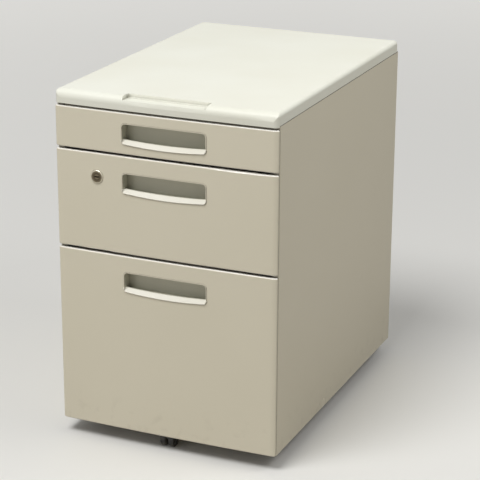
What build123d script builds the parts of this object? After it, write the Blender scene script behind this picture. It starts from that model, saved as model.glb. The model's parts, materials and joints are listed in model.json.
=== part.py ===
from build123d import *
import os
from math import asin, cos, degrees, radians, sin

os.makedirs("parts", exist_ok=True)

# Mobile pedestal with three drawers, seen from its front: +X right, +Y back, +Z up, origin on the floor.

# Overall size
overall_width = 395.0
overall_depth = 580.0
floor_gap = 27.0
sheet = 1.0

# Drawer fronts: bowed steel pans with softly rolled side edges
top_front_height = 69.0
file_front_height = 313.5
middle_front_height = 167.0
front_gap = 4.0
lip_proud = 1.5
bow_radius = 6500.0
edge_reach = 8.6
edge_turn = 25.0
edge_radius = 2.6
edge_roll = 2.4
front_shell_depth = 7.8
side_gap = 3.2
skin_flange = 9.0

# Top cap: moulded cover with a pencil scoop
cap_front_height = 22.5
cap_seam = 1.0
cap_wall = 3.2
cap_edge_radius = 6.5
cap_front_roll = 13.0
cap_corner_radius = 9.0
cap_rim_lift = 2.5
cap_rib = 2.0
cap_rib_pitch = 92.0
tab_x = 140.0
tab_y = 215.0
tab_width = 9.0
tab_sheet = 2.2
tab_hook = 1.6
tab_drop = 5.0
tab_fit = 0.2
scoop_length = 150.0
scoop_reach = 25.0
scoop_depth = 6.3
scoop_slope = 1.8
scoop_blend = 2.5
scoop_corner = 4.0

# Cabinet shell
panel_flange = 12.0
panel_bend = 2.5
base_height = 63.0
base_flange = 13.0
top_pan_flange = 15.0
pan_front_flange = 8.0
pan_flange_setback = 4.0
base_front_gap = 2.5
swage_width = 16.0
swage_depth = 1.0
swage_slope = 40.0
swage_margin = 60.0
liner_side_gap = 3.0
post_width = 30.0
post_depth = 12.0
post_sheet = 1.2
post_setback = 5.5
post_top_gap = 1.0

# Drawer liners, boxes and slides
liner_inset = 6.0
liner_flange_inset = 3.5
front_depth = 25.0
box_length = 508.0
box_rim_height = 8.0
slide_space = 13.0
slide_sheet = 1.2
slide_gap = 0.3
slide_length = 500.0
slide_setback = 9.5
slide_lip_gap = 0.9
member_lip_gap = 1.7
slide_bend = 2.0

# Finger pulls
pull_width = 148.5
lip_end_drop = 33.5
lip_mid_drop = 37.3
lip_nose = 1.2
lip_chamfer = 4.0
lip_corner = 3.5
lip_round = 0.9
ridge_depth = 6.0
ridge_end_drop = 26.5
ridge_mid_drop = 29.2
ridge_corner = 1.5
pull_corner = 6.0
pull_rim = 1.5
pull_wall = 1.8
pull_cup_depth = 19.0
pull_floor_drop = 32.0
pull_flange = 6.0
pull_fit = 0.2
collar_proud = 0.3

# Lock
lock_side_inset = 76.5
lock_drop = 40.0
lock_ring_radius = 11.2
lock_face_radius = 9.3
lock_barrel_radius = 10.4
lock_plug_radius = 6.0
lock_ring_proud = 1.4
crank_radius = 7.0
crank_pin_radius = 1.5
crank_slack = 0.4
bolt_height = 12.0
bolt_sheet = 2.5
bar_sheet = 1.2
bar_width = 14.5
bar_tail = 60.0
bolt_end = 5.0
bridge_width = 6.0
bridge_wall = 1.0
bridge_tip_gap = 18.0
bridge_crank_gap = 10.0
lock_fit = 0.4
bolt_gap = 0.6
bolt_notch = 0.5
barrel_gap = 0.3
barrel_fit = 0.1
crank_sheet = 1.5
ring_chamfer = 0.6
ring_seat = 3.0
face_sink = 0.3
face_chamfer = 0.5
face_sheet = 2.4
keyway_length = 9.0
keyway_width = 2.2
keyway_depth = 7.0
guide_height = 10.0
guide_sheet = 1.0
guide_fit = 0.4
guide_above_catch = 23.0
guide_below_catch = 46.5
catch_height = 8.0
catch_gap = 1.6
catch_sheet = 2.0
catch_setback = 5.0

# Casters
wheel_radius = 20.0
wheel_width = 11.0
wheel_edge_share = 0.16
wheel_gap = 0.4
caster_web = 7.0
caster_trail = 17.0
caster_side_inset = 54.0
caster_front_setback = 59.5
caster_rear_setback = 58.0
axle_radius = 3.0
running_fit = 0.06
hood_gap = 0.9
hood_wall = 1.8
hood_side_inset = 1.0
hood_skirt = 2.0
web_lobe_radius = 7.8
kingpin_radius = 4.0
boss_radius = 9.0
boss_clear = 12.0
kingpin_length = 14.0
kingpin_end_gap = 0.5
race_radius = 10.5
axle_inset = 0.5
plate_size = 40.0
plate_sheet = 2.5
race_height = 2.0

# Support roller under the file drawer
roller_radius = 13.0
roller_width = 9.5
roller_web = 5.0
roller_setback = 26.5
roller_x = -6.0
roller_axle_radius = 2.4
bracket_half = 15.0
bracket_gap = 0.4
bracket_lobe = 5.0

# Drawer furniture
tray_side_gap = 2.5
tray_depth = 112.0
tray_height = 24.0
tray_wall = 2.0
tray_corner = 4.0
tray_pocket_corner = 6.0
tray_draft = 5.0
divider_clear = 0.4
divider_foot = 18.0
divider_hem = 8.0
divider_bend = 1.5
bumper_size = 6.0

# A cut runs this far past the piece it goes through
past = 5.0
hanging = (Align.CENTER, Align.CENTER, Align.MAX)

half_width = overall_width / 2
back_y = overall_depth / 2
crown_y = lip_proud - back_y
front_rear_y = crown_y + front_shell_depth
panel_front_y = front_rear_y + side_gap
panel_inner_x = half_width - sheet
liner_rear_y = crown_y + front_depth
liner_half = half_width - panel_flange - liner_side_gap
slide_front_y = liner_rear_y + slide_setback
rail_outer_x = panel_inner_x - post_depth
box_half = rail_outer_x - slide_space
bow_centre = (0, crown_y + bow_radius)

middle_front_bottom = floor_gap + file_front_height + front_gap
top_front_bottom = middle_front_bottom + middle_front_height + front_gap
cap_front_bottom = top_front_bottom + top_front_height + front_gap
overall_height = cap_front_bottom + cap_front_height
side_top = cap_front_bottom + cap_rim_lift - cap_seam
pan_top = side_top + cap_seam

# One entry per drawer: its front, how far the pull and the box lie below the front's upper edge,
# the catch below the box's rim, the slide below the catch, and the divider behind the liner
drawers = {
    "top": dict(bottom=top_front_bottom, height=top_front_height, pull_drop=18.5, box_lift=6.0, box_drop=18.0,
                catch_drop=10.5, rail_drop=23.0, rail_height=22.0),
    "middle": dict(bottom=middle_front_bottom, height=middle_front_height, pull_drop=28.8, box_lift=8.0,
                   box_drop=24.0, catch_drop=41.0, rail_drop=30.0, rail_height=35.0,
                   divider_place=243.5, divider_drop=35.0),
    "file": dict(bottom=floor_gap, height=file_front_height, pull_drop=28.8, box_lift=45.0, box_drop=28.5,
                 catch_drop=85.0, rail_drop=40.0, rail_height=45.0, divider_place=323.5, divider_drop=50.0),
}


def pull_top(data):
    return data["bottom"] + data["height"] - data["pull_drop"]


def box_bottom(data):
    return data["bottom"] + data["box_lift"]


def box_top(data):
    return data["bottom"] + data["height"] - data["box_drop"]


def catch_low(data):
    return box_top(data) - data["catch_drop"]


def rail_centre(data):
    return catch_low(data) - data["rail_drop"]


def keep(piece, label):
    piece.part.label = label
    export_step(piece.part, f"parts/{label}.step")


# Sheets welded face to face are one node but stay separate solids
def keep_welded(sheets, label):
    welded = Compound([piece.part.solid() for piece in sheets])
    welded.label = label
    export_step(welded, f"parts/{label}.step")


def mirrored(piece):
    with BuildPart() as twin:
        mirror(piece.part, about=Plane.YZ)
    return twin


# Plan outline of a drawer front: a wide bow, then two arcs that roll each side edge back
def front_outline():
    bow_end_x = half_width - edge_reach
    bow_angle = degrees(asin(bow_end_x / bow_radius))
    total_turn = radians(edge_turn + bow_angle)
    soft_reach = edge_reach - edge_radius * (1 - sin(total_turn))
    soft_radius = soft_reach / (sin(total_turn) - sin(radians(bow_angle)))
    with BuildSketch(Plane.XY) as outline:
        with BuildLine():
            bow = CenterArc(bow_centre, bow_radius, 270, bow_angle)
            soft = JernArc(bow @ 1, bow % 1, soft_radius, edge_turn)
            tight = JernArc(soft @ 1, soft % 1, edge_radius, 90 - edge_turn - bow_angle)
            side = Line(tight @ 1, (half_width, front_rear_y))
            Line(side @ 1, (0, front_rear_y))
            mirror(about=Plane.YZ)
        make_face()
    return outline.sketch


# Front edge of the top cap, bowed like the fronts below it
def cap_outline(inset):
    corner = cap_corner_radius
    with BuildSketch(Plane.XY) as outline:
        with BuildLine():
            front_end = crown_y + bow_radius - (bow_radius**2 - half_width**2) ** 0.5
            ThreePointArc((-half_width, front_end), (0, crown_y), (half_width, front_end))
            Polyline((half_width, front_end), (half_width, back_y), (-half_width, back_y),
                     (-half_width, front_end))
        make_face()
        fillet(outline.vertices(), radius=corner)
        if inset > 0:
            offset(amount=-inset, kind=Kind.INTERSECTION)
    return outline.sketch


# A plain block from its lowest to its highest corner, joined to or cut from the piece being made
def add_box(low, high, mode=Mode.ADD):
    centre = tuple((a + b) / 2 for a, b in zip(low, high))
    with Locations(centre):
        Box(high[0] - low[0], high[1] - low[1], high[2] - low[2], mode=mode)


# Moulded top cap, open below, ribbed inside, held by four snap tabs through the steel pan
def make_top_cap():
    inner_ceiling = overall_height - cap_wall
    front_ceiling = overall_height - cap_front_roll + cap_wall
    step_y = crown_y + scoop_reach + cap_wall
    rear_y = back_y - cap_wall
    side_x = half_width - cap_wall
    with BuildPart() as cap:
        with BuildSketch(Plane.XY.offset(cap_front_bottom)):
            add(cap_outline(0))
        extrude(amount=cap_front_height)
        fillet(cap.faces().sort_by(Axis.Z)[-1].edges(), radius=cap_edge_radius)
        add(make_front_roll(), mode=Mode.SUBTRACT)
        # the rim sits higher at the sides and the back than at the front
        add_box((-half_width, crown_y + cap_corner_radius, cap_front_bottom - 1),
                (half_width, back_y, pan_top), mode=Mode.SUBTRACT)
        with BuildSketch(Plane.XY.offset(cap_front_bottom - 1)):
            add(cap_outline(cap_wall))
        extrude(amount=front_ceiling - cap_front_bottom + 1, mode=Mode.SUBTRACT)
        ceiling_x = side_x - cap_edge_radius
        add_box((-ceiling_x, step_y, front_ceiling - 1), (ceiling_x, rear_y - cap_edge_radius, inner_ceiling),
                mode=Mode.SUBTRACT)
        # ribs under the skin rest on the steel pan
        rib_count = int((overall_depth - 2 * cap_rib_pitch) // cap_rib_pitch) + 1
        for index in range(rib_count):
            rib_y = step_y + cap_rib_pitch * (index + 0.5)
            add_box((-side_x, rib_y, pan_top), (side_x, rib_y + cap_rib, inner_ceiling))
        for rib_x in (-cap_rib_pitch, 0, cap_rib_pitch):
            add_box((rib_x, step_y - cap_wall, pan_top), (rib_x + cap_rib, rear_y, front_ceiling))
            add_box((rib_x, step_y, pan_top), (rib_x + cap_rib, rear_y, inner_ceiling))
        tab_low = side_top - tab_drop
        hook_reach = tab_sheet + tab_hook
        for x in (-tab_x, tab_x):
            for y in (-tab_y, tab_y):
                with BuildSketch(Plane.YZ.offset(x - tab_width / 2)):
                    with BuildLine():
                        Polyline((y, inner_ceiling), (y, tab_low), (y + tab_sheet, tab_low),
                                 (y + hook_reach, side_top - tab_hook), (y + hook_reach, side_top),
                                 (y + tab_sheet, side_top), (y + tab_sheet, inner_ceiling), close=True)
                    make_face()
                extrude(amount=tab_width)
        add(make_scoop(), mode=Mode.SUBTRACT)
    return cap


# What the soft front roll takes off the cap, turned round the centre of the front's bow
def make_front_roll():
    low = overall_height - cap_front_roll
    roll_angle = 2 * degrees(asin((half_width + 1) / bow_radius))
    with BuildPart() as roll:
        with BuildSketch(Plane.YZ):
            with BuildLine():
                Polyline((crown_y, low), (crown_y - 1, low), (crown_y - 1, overall_height + 1),
                         (crown_y + cap_front_roll, overall_height + 1),
                         (crown_y + cap_front_roll, overall_height))
                CenterArc((crown_y + cap_front_roll, low), cap_front_roll, 90, 90)
            make_face()
        revolve(axis=Axis((*bow_centre, 0), (0, 0, 1)), revolution_arc=roll_angle / 2)
        mirror(about=Plane.YZ)
    return roll


# Pencil scoop: a steep back wall that curves into a floor running out over the front roll
def make_scoop():
    floor = overall_height - scoop_depth
    wall_top_y = crown_y + scoop_reach
    open_y = crown_y - 2
    above = overall_height + scoop_depth
    slope_angle = -degrees(asin(scoop_slope / (scoop_slope**2 + scoop_depth**2) ** 0.5))
    half = scoop_length / 2 - scoop_slope
    with BuildPart() as scoop:
        with BuildSketch(Plane.YZ.offset(-scoop_length)) as side_view:
            with BuildLine():
                Polyline((open_y, floor), (wall_top_y - scoop_slope, floor),
                         (wall_top_y + scoop_slope, above), (open_y, above), close=True)
            make_face()
            fillet(side_view.vertices().group_by(Axis.Y)[0].sort_by(Axis.X)[-1], radius=scoop_blend)
        extrude(amount=2 * scoop_length)
        with BuildSketch(Plane.XY.offset(floor)) as plan:
            with BuildLine():
                Polyline((-half, wall_top_y), (half, wall_top_y), (half, open_y - scoop_reach),
                         (-half, open_y - scoop_reach), close=True)
            make_face()
            fillet(plan.vertices().group_by(Axis.Y)[-1], radius=scoop_corner)
        extrude(amount=above - floor, taper=slope_angle, mode=Mode.INTERSECT)
    return scoop


# Steel pan that closes the cabinet under the cap
def make_top_pan():
    flange_bottom = side_top - top_pan_flange
    front_y = panel_front_y + sheet
    rear_y = back_y - panel_bend
    flange_half = half_width - panel_flange - 2 * sheet
    with BuildPart() as pan:
        add_box((-panel_inner_x, front_y, side_top), (panel_inner_x, rear_y, pan_top))
        for s in (-1, 1):
            edge = sorted((s * panel_inner_x, s * (panel_inner_x - sheet)))
            add_box((edge[0], front_y + pan_flange_setback, flange_bottom), (edge[1], rear_y, side_top))
        add_box((-flange_half, rear_y - sheet, flange_bottom), (flange_half, rear_y, side_top))
        add_box((-flange_half, front_y, side_top - pan_front_flange),
                (flange_half, front_y + sheet, side_top))
        for x in (-tab_x, tab_x):
            for y in (-tab_y, tab_y):
                half = tab_width / 2 + tab_fit
                add_box((x - half, y - tab_fit, side_top - past),
                        (x + half, y + tab_sheet + tab_fit, pan_top + past), mode=Mode.SUBTRACT)
    return pan


# Side panel: one sheet bent in at the front, the back and along its lower edge
def make_side_panel():
    inner_x = half_width - panel_flange
    with BuildPart() as panel:
        with BuildSketch(Plane.XY.offset(floor_gap)):
            with BuildLine():
                FilletPolyline((inner_x, panel_front_y), (half_width, panel_front_y), (half_width, back_y),
                               (inner_x, back_y), radius=panel_bend)
                offset(amount=sheet, side=Side.LEFT)
            make_face()
        extrude(amount=side_top - floor_gap)
        add_box((inner_x, panel_front_y + panel_flange, floor_gap),
                (panel_inner_x, back_y - panel_flange, floor_gap + sheet))
    return panel


def make_back_panel():
    outer_y = back_y - sheet
    half = half_width - panel_bend
    with BuildPart() as panel:
        add_box((-half, outer_y - sheet, floor_gap), (half, outer_y, side_top))
        add_box((-half + panel_flange, outer_y - panel_flange, floor_gap),
                (half - panel_flange, outer_y - sheet, floor_gap + sheet))
        # two stiffening swages pressed into the sheet from outside
        for s in (-1, 1):
            centre = (s * panel_inner_x / 2, (floor_gap + side_top) / 2)
            length = side_top - floor_gap - 2 * swage_margin
            with BuildSketch(Plane.XZ.offset(sheet - outer_y)):
                with Locations(centre):
                    Rectangle(swage_width + 2 * sheet, length + 2 * sheet)
            extrude(amount=-swage_depth, taper=swage_slope)
            with BuildSketch(Plane.XZ.offset(-outer_y)):
                with Locations(centre):
                    Rectangle(swage_width, length)
            extrude(amount=-swage_depth, taper=swage_slope, mode=Mode.SUBTRACT)
    return panel


# Base pan between the sides, flanged down all round, over the casters
def make_base_pan():
    front_y = liner_rear_y + base_front_gap
    rear_y = back_y - panel_bend
    bottom = base_height - sheet
    flange_bottom = bottom - base_flange
    with BuildPart() as pan:
        add_box((-panel_inner_x, front_y, bottom), (panel_inner_x, rear_y, base_height))
        for s in (-1, 1):
            edge = sorted((s * panel_inner_x, s * (panel_inner_x - sheet)))
            add_box((edge[0], front_y, flange_bottom), (edge[1], rear_y, bottom))
        for y in (front_y, rear_y - sheet):
            add_box((-panel_inner_x, y, flange_bottom), (panel_inner_x, y + sheet, bottom))
    return pan


# Channel posts that carry the slides, one near each corner of the cabinet
def post_places():
    front = liner_rear_y + post_setback
    rear = slide_front_y + slide_length + slide_setback - post_setback - post_width
    return (front, rear)


def make_posts():
    height = side_top - top_pan_flange - post_top_gap - base_height
    with BuildPart() as posts:
        for y in post_places():
            with BuildSketch(Plane.XY.offset(base_height)):
                with BuildLine():
                    FilletPolyline((panel_inner_x, y), (rail_outer_x, y), (rail_outer_x, y + post_width),
                                   (panel_inner_x, y + post_width), radius=slide_bend)
                    offset(amount=post_sheet, side=Side.RIGHT)
                make_face()
            extrude(amount=height)
        mirror(about=Plane.YZ)
    return posts


# Channel of a slide, extruded along Y: the web on one side, both flanges reaching to the other
def slide_channel(web_x, flange_x, centre_z, height):
    with BuildPart() as channel:
        with BuildSketch(Plane.XZ.offset(-slide_front_y)):
            low = centre_z - height / 2
            high = centre_z + height / 2
            with BuildLine():
                FilletPolyline((flange_x, low), (web_x, low), (web_x, high), (flange_x, high),
                               radius=slide_bend)
                offset(amount=slide_sheet, side=Side.LEFT if flange_x < web_x else Side.RIGHT)
            make_face()
        extrude(amount=-slide_length)
    return channel


# Cabinet member, welded to the posts
def make_cabinet_rail(data):
    flange_x = box_half + slide_sheet + slide_lip_gap
    with BuildPart() as rail:
        add(slide_channel(rail_outer_x, flange_x, rail_centre(data), data["rail_height"]))
    return rail


def nested(height):
    # outer height of a slide member that runs inside a channel of this outer height
    return height - 2 * slide_sheet - 2 * slide_gap


def make_drawer_rail(data, telescopic):
    height = nested(nested(data["rail_height"])) if telescopic else nested(data["rail_height"])
    reach = rail_outer_x - slide_sheet - slide_lip_gap - (slide_sheet + slide_gap if telescopic else 0)
    with BuildPart() as rail:
        add(slide_channel(box_half, reach, rail_centre(data), height))
    return rail


def make_middle_member(data):
    web_x = rail_outer_x - slide_sheet - slide_gap
    flange_x = box_half + slide_sheet + member_lip_gap
    with BuildPart() as member:
        add(slide_channel(web_x, flange_x, rail_centre(data), nested(data["rail_height"])))
    return member


# Drawer front skin: a shallow bowed pan with rolled edges, hollow behind, hemmed inwards at the back
def pull_outline(data, grow):
    # what the pull fills in the front: round upper corners, chamfered lower ones, a curved lower edge
    top = pull_top(data) + pull_rim
    half = pull_width / 2 + pull_rim
    low = pull_top(data) - lip_end_drop
    middle = pull_top(data) - lip_mid_drop
    with BuildSketch(Plane.XY) as outline:
        with BuildLine():
            Polyline((-half + lip_chamfer, low), (-half, low + lip_chamfer), (-half, top), (half, top),
                     (half, low + lip_chamfer), (half - lip_chamfer, low))
            ThreePointArc((-half + lip_chamfer, low), (0, middle), (half - lip_chamfer, low))
        make_face()
        fillet(outline.vertices().group_by(Axis.Y)[-1], radius=pull_corner + pull_rim)
        if grow > 0:
            offset(amount=grow, kind=Kind.INTERSECTION)
    return outline.sketch


def make_front_skin(data):
    bottom = data["bottom"]
    height = data["height"]
    with BuildPart() as hollow:
        for inset, rise in ((sheet, 2 * sheet), (2 * sheet, sheet)):
            with BuildSketch(Plane.XY.offset(bottom + rise)):
                add(front_outline())
                offset(amount=-inset)
            extrude(amount=height - 2 * rise)
    with BuildPart() as skin:
        with BuildSketch(Plane.XY.offset(bottom)):
            add(front_outline())
        extrude(amount=height)
        fillet(rolled_edges(skin), radius=edge_roll)
        add(hollow, mode=Mode.SUBTRACT)
        mouth_half = half_width - skin_flange
        add_box((-mouth_half, front_rear_y - 2 * sheet, bottom + skin_flange),
                (mouth_half, front_rear_y + sheet, bottom + height - skin_flange), mode=Mode.SUBTRACT)
        with BuildSketch(Plane.XZ.offset(-crown_y)):
            add(pull_outline(data, pull_fit))
        extrude(amount=-front_shell_depth / 2, mode=Mode.SUBTRACT)
    return skin


# Upper and lower edges of a front, apart from the ones along its back
def rolled_edges(block):
    rear = block.faces().sort_by(Axis.Y)[-1].center().Y
    ends = block.faces().sort_by(Axis.Z)
    return [edge for face in (ends[0], ends[-1]) for edge in face.edges() if edge.center().Y < rear - 0.01]


# Inner pan behind the skin: flanged round its mouth, closed at the back
def make_liner(data):
    low = data["bottom"] + liner_inset
    high = data["bottom"] + data["height"] - liner_inset
    flange = liner_flange_inset
    with BuildPart() as liner:
        add_box((-half_width + flange, front_rear_y, data["bottom"] + flange),
                (half_width - flange, front_rear_y + sheet, data["bottom"] + data["height"] - flange))
        add_box((-liner_half, front_rear_y, low), (liner_half, liner_rear_y, high))
        upright = liner.edges().filter_by(Axis.Z).group_by(Axis.Y)[-1]
        fillet(upright, radius=panel_bend)
        add_box((-liner_half + sheet, front_rear_y - 1, low + sheet),
                (liner_half - sheet, liner_rear_y - sheet, high - sheet), mode=Mode.SUBTRACT)
    return liner


# Finger pull: a moulded cup behind a sloping lip, with a collar through the skin and a flange behind it
def make_pull(data):
    top = pull_top(data)
    half = pull_width / 2
    flange_y = crown_y + 2 * sheet
    ridge_y = crown_y + ridge_depth
    cup_rear_y = crown_y + pull_cup_depth
    floor = top - pull_floor_drop
    with BuildPart() as cavity:
        # the lip slopes from its nose up and back to the ridge
        with BuildSketch(Plane.XZ.offset(-crown_y + lip_proud)):
            add(mouth_outline(top, lip_end_drop - lip_nose, lip_mid_drop - lip_nose, lip_corner))
        with BuildSketch(Plane.XZ.offset(-ridge_y)):
            add(mouth_outline(top, ridge_end_drop, ridge_mid_drop, ridge_corner))
        loft(ruled=True)
        with BuildSketch(Plane.XZ.offset(-ridge_y)):
            add(mouth_outline(top, ridge_end_drop, ridge_mid_drop, ridge_corner))
        extrude(amount=ridge_y - cup_rear_y)
        add_box((-half, ridge_y + pull_wall, floor), (half, cup_rear_y, top - pull_corner))
    with BuildPart() as pull:
        add_box((-half - pull_wall, flange_y, floor - pull_wall),
                (half + pull_wall, cup_rear_y + pull_wall, top + pull_wall))
        with BuildSketch(Plane.XZ.offset(-crown_y + collar_proud)):
            add(pull_outline(data, 0))
        extrude(amount=-(collar_proud + 3 * sheet))
        reach = half + pull_rim + pull_flange
        add_box((-reach, flange_y, top - lip_mid_drop - pull_flange / 2),
                (reach, flange_y + pull_wall, top + pull_rim + pull_flange))
        add(make_lip(data))
        add(cavity, mode=Mode.SUBTRACT)
    return pull


# The lip before its slope is cut: the lower part of the pull's outline, proud of the front
def make_lip(data):
    with BuildPart() as lip:
        with BuildSketch(Plane.XZ.offset(-crown_y + lip_proud)):
            add(pull_outline(data, 0))
            with Locations((0, pull_top(data) - ridge_end_drop + overall_height / 2)):
                Rectangle(overall_width, overall_height, mode=Mode.SUBTRACT)
        extrude(amount=-(lip_proud + 3 * sheet))
        front = lip.faces().sort_by(Axis.Y)[0]
        fillet(front.edges(), radius=lip_round)
    return lip


# The pull's opening at the depth where its lower edge has dropped this far at the ends and in the middle
def mouth_outline(top, end_drop, mid_drop, lower_corner):
    half = pull_width / 2
    with BuildSketch(Plane.XY) as mouth:
        with BuildLine():
            Polyline((-half, top - end_drop), (-half, top), (half, top), (half, top - end_drop))
            ThreePointArc((-half, top - end_drop), (0, top - mid_drop), (half, top - end_drop))
        make_face()
        fillet(mouth.vertices().group_by(Axis.Y)[-1], radius=pull_corner)
        fillet(mouth.vertices().group_by(Axis.Y)[0], radius=lower_corner)
    return mouth.sketch


# Drawer box: a floor, four walls with their rims folded double and the lock catch on the left wall,
# each a separate sheet welded to the next
def make_box(data):
    low = box_bottom(data)
    high = box_top(data)
    rear_y = liner_rear_y + box_length
    inner_x = box_half - sheet
    inner_y = liner_rear_y + sheet
    floor = low + sheet
    rim_low = high - box_rim_height
    catch_z = catch_low(data)
    with BuildPart() as floor_sheet:
        add_box((-box_half, liner_rear_y, low), (box_half, rear_y, floor))
    with BuildPart() as right_wall:
        add_box((inner_x, liner_rear_y, floor), (box_half, rear_y, high))
        add_box((inner_x - sheet, inner_y + sheet, rim_low), (inner_x, rear_y - 2 * sheet, high))
    with BuildPart() as front_wall:
        add_box((-inner_x, liner_rear_y, floor), (inner_x, inner_y, high))
        add_box((-inner_x, inner_y, rim_low), (inner_x, inner_y + sheet, high))
    with BuildPart() as rear_wall:
        add_box((-inner_x, rear_y - sheet, floor), (inner_x, rear_y, high))
        add_box((-inner_x, rear_y - 2 * sheet, rim_low), (inner_x, rear_y - sheet, high))
    with BuildPart() as catch:
        add_box((catch_end_x, catch_front_y, catch_z),
                (-box_half, catch_front_y + catch_sheet, catch_z + catch_height))
    return [floor_sheet, right_wall, mirrored(right_wall), front_wall, rear_wall, catch]


catch_front_y = liner_rear_y + catch_setback
catch_end_x = -liner_half


# Pen tray: moulded insert with one long pocket and three short ones
def make_pen_tray(data):
    floor = box_bottom(data) + sheet
    top = floor + tray_height
    front_y = liner_rear_y + 2 * sheet + divider_clear
    tray_width = 2 * (box_half - 2 * sheet - tray_side_gap)
    row = (tray_depth - 3 * tray_wall) / 3
    with BuildPart() as tray:
        add_box((-tray_width / 2, front_y, floor), (tray_width / 2, front_y + tray_depth, top))
        fillet(tray.edges().filter_by(Axis.Z), radius=tray_corner)
        with BuildSketch(Plane.XY.offset(top)):
            with Locations((0, front_y + tray_wall + row / 2)):
                RectangleRounded(tray_width - 2 * tray_wall, row, tray_pocket_corner)
            cell = (tray_width - 4 * tray_wall) / 3
            for index in (-1, 0, 1):
                with Locations((index * (cell + tray_wall), front_y + 2 * tray_wall + 2 * row)):
                    RectangleRounded(cell, 2 * row, tray_pocket_corner)
        extrude(amount=-(tray_height - tray_wall), taper=tray_draft, mode=Mode.SUBTRACT)
    return tray


# Divider plate with a folded foot, standing on the box floor
def make_divider(data):
    floor = box_bottom(data) + sheet
    top = box_top(data) - data["divider_drop"]
    y = liner_rear_y + data["divider_place"]
    half = box_half - 2 * sheet - divider_clear
    with BuildPart() as divider:
        with BuildSketch(Plane.YZ.offset(-half)):
            with BuildLine():
                FilletPolyline((y + divider_foot, floor), (y, floor), (y, top), (y + divider_hem, top),
                               radius=divider_bend)
                offset(amount=sheet, side=Side.RIGHT)
            make_face()
        extrude(amount=2 * half)
    return divider


# Rubber stops between the side panels and the closed fronts
def make_bumpers():
    x = half_width - panel_flange / 2 - panel_bend / 2
    half = bumper_size / 2
    with BuildPart() as bumpers:
        for data in drawers.values():
            z = data["bottom"] + data["height"] / 2
            for s in (-1, 1):
                add_box((s * x - half, front_rear_y + sheet + slide_gap, z - half),
                        (s * x + half, panel_front_y, z + half))
    return bumpers


# Lock: everything is placed from its centre on the middle drawer's front
lock_x = lock_side_inset - half_width
lock_height = middle_front_bottom + middle_front_height - lock_drop
lock_centre_y = crown_y + bow_radius - (bow_radius**2 - (abs(lock_x) - lock_ring_radius) ** 2) ** 0.5
liner_inner_y = liner_rear_y - sheet
bolt_rear_y = liner_inner_y - bolt_gap
bolt_front_y = bolt_rear_y - bolt_sheet
crank_rear_y = bolt_front_y - lock_fit
crank_front_y = crank_rear_y - crank_sheet
barrel_rear_y = crank_front_y - barrel_gap
crank_swing = crank_radius * 2**0.5
bolt_tip_x = -liner_half - 2.0
bolt_low = lock_height
bolt_high = lock_height + bolt_height
bar_outer_x = -panel_inner_x + slide_gap
bar_inner_x = bar_outer_x + bar_sheet
bar_rear_y = catch_front_y - 1.0
bar_front_y = bar_rear_y - bar_width


def make_lock_housing():
    front_y = lock_centre_y - lock_ring_proud
    face = lock_face_radius + barrel_fit
    bore = lock_plug_radius + running_fit
    barrel = lock_barrel_radius
    with BuildPart() as housing:
        with BuildSketch(Plane.XY.offset(lock_height)):
            with BuildLine():
                Polyline((lock_x + face, front_y), (lock_x + lock_ring_radius - ring_chamfer, front_y),
                         (lock_x + lock_ring_radius, front_y + ring_chamfer),
                         (lock_x + lock_ring_radius, lock_centre_y),
                         (lock_x + barrel, lock_centre_y), (lock_x + barrel, barrel_rear_y),
                         (lock_x + bore, barrel_rear_y), (lock_x + bore, front_y + ring_seat),
                         (lock_x + face, front_y + ring_seat), close=True)
            make_face()
        revolve(axis=Axis((lock_x, 0, lock_height), (0, 1, 0)))
    return housing


def make_lock_cylinder():
    face_y = lock_centre_y - lock_ring_proud + face_sink
    rim_x = lock_x + lock_face_radius
    plug_x = lock_x + lock_plug_radius
    with BuildPart() as plug:
        with BuildSketch(Plane.XY.offset(lock_height)):
            with BuildLine():
                Polyline((lock_x, face_y), (rim_x - face_chamfer, face_y), (rim_x, face_y + face_chamfer),
                         (rim_x, face_y + face_sheet), (plug_x, face_y + face_sheet), (plug_x, crank_front_y),
                         (rim_x, crank_front_y), (rim_x, crank_rear_y), (lock_x, crank_rear_y), close=True)
            make_face()
        revolve(axis=Axis((lock_x, 0, lock_height), (0, 1, 0)))
        # keyway
        with BuildSketch(Plane.XZ.offset(-face_y)):
            with Locations((lock_x, lock_height)):
                Rectangle(keyway_length, keyway_width)
        extrude(amount=-keyway_depth, mode=Mode.SUBTRACT)
        # crank pin, half a quarter turn to the right of the top at rest
        with BuildSketch(Plane.XZ.offset(-crank_rear_y)):
            with Locations((lock_x + crank_swing / 2, lock_height + crank_swing / 2)):
                Circle(crank_pin_radius)
        extrude(amount=-(lock_fit + bolt_sheet))
    return plug


# Sliding bolt behind the front, driven by the crank pin, with a ramp on its tip
def make_lock_bolt():
    slot_x = lock_x + crank_swing / 2
    slot_half = crank_pin_radius + crank_slack
    ramp = bolt_height - catch_sheet * 2
    with BuildPart() as bolt:
        with BuildSketch(Plane.XZ.offset(-bolt_front_y)):
            with BuildLine():
                Polyline((bolt_tip_x, bolt_low), (slot_x + slot_half + bolt_end, bolt_low),
                         (slot_x + slot_half + bolt_end, bolt_high), (bolt_tip_x + ramp, bolt_high),
                         (bolt_tip_x, bolt_high - ramp), close=True)
            make_face()
            slot_low = lock_height + crank_swing / 2 - slot_half
            slot_high = lock_height + crank_radius + slot_half
            with Locations((slot_x, (slot_low + slot_high) / 2)):
                Rectangle(2 * slot_half, slot_high - slot_low, mode=Mode.SUBTRACT)
        extrude(amount=-bolt_sheet)
    return bolt


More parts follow.
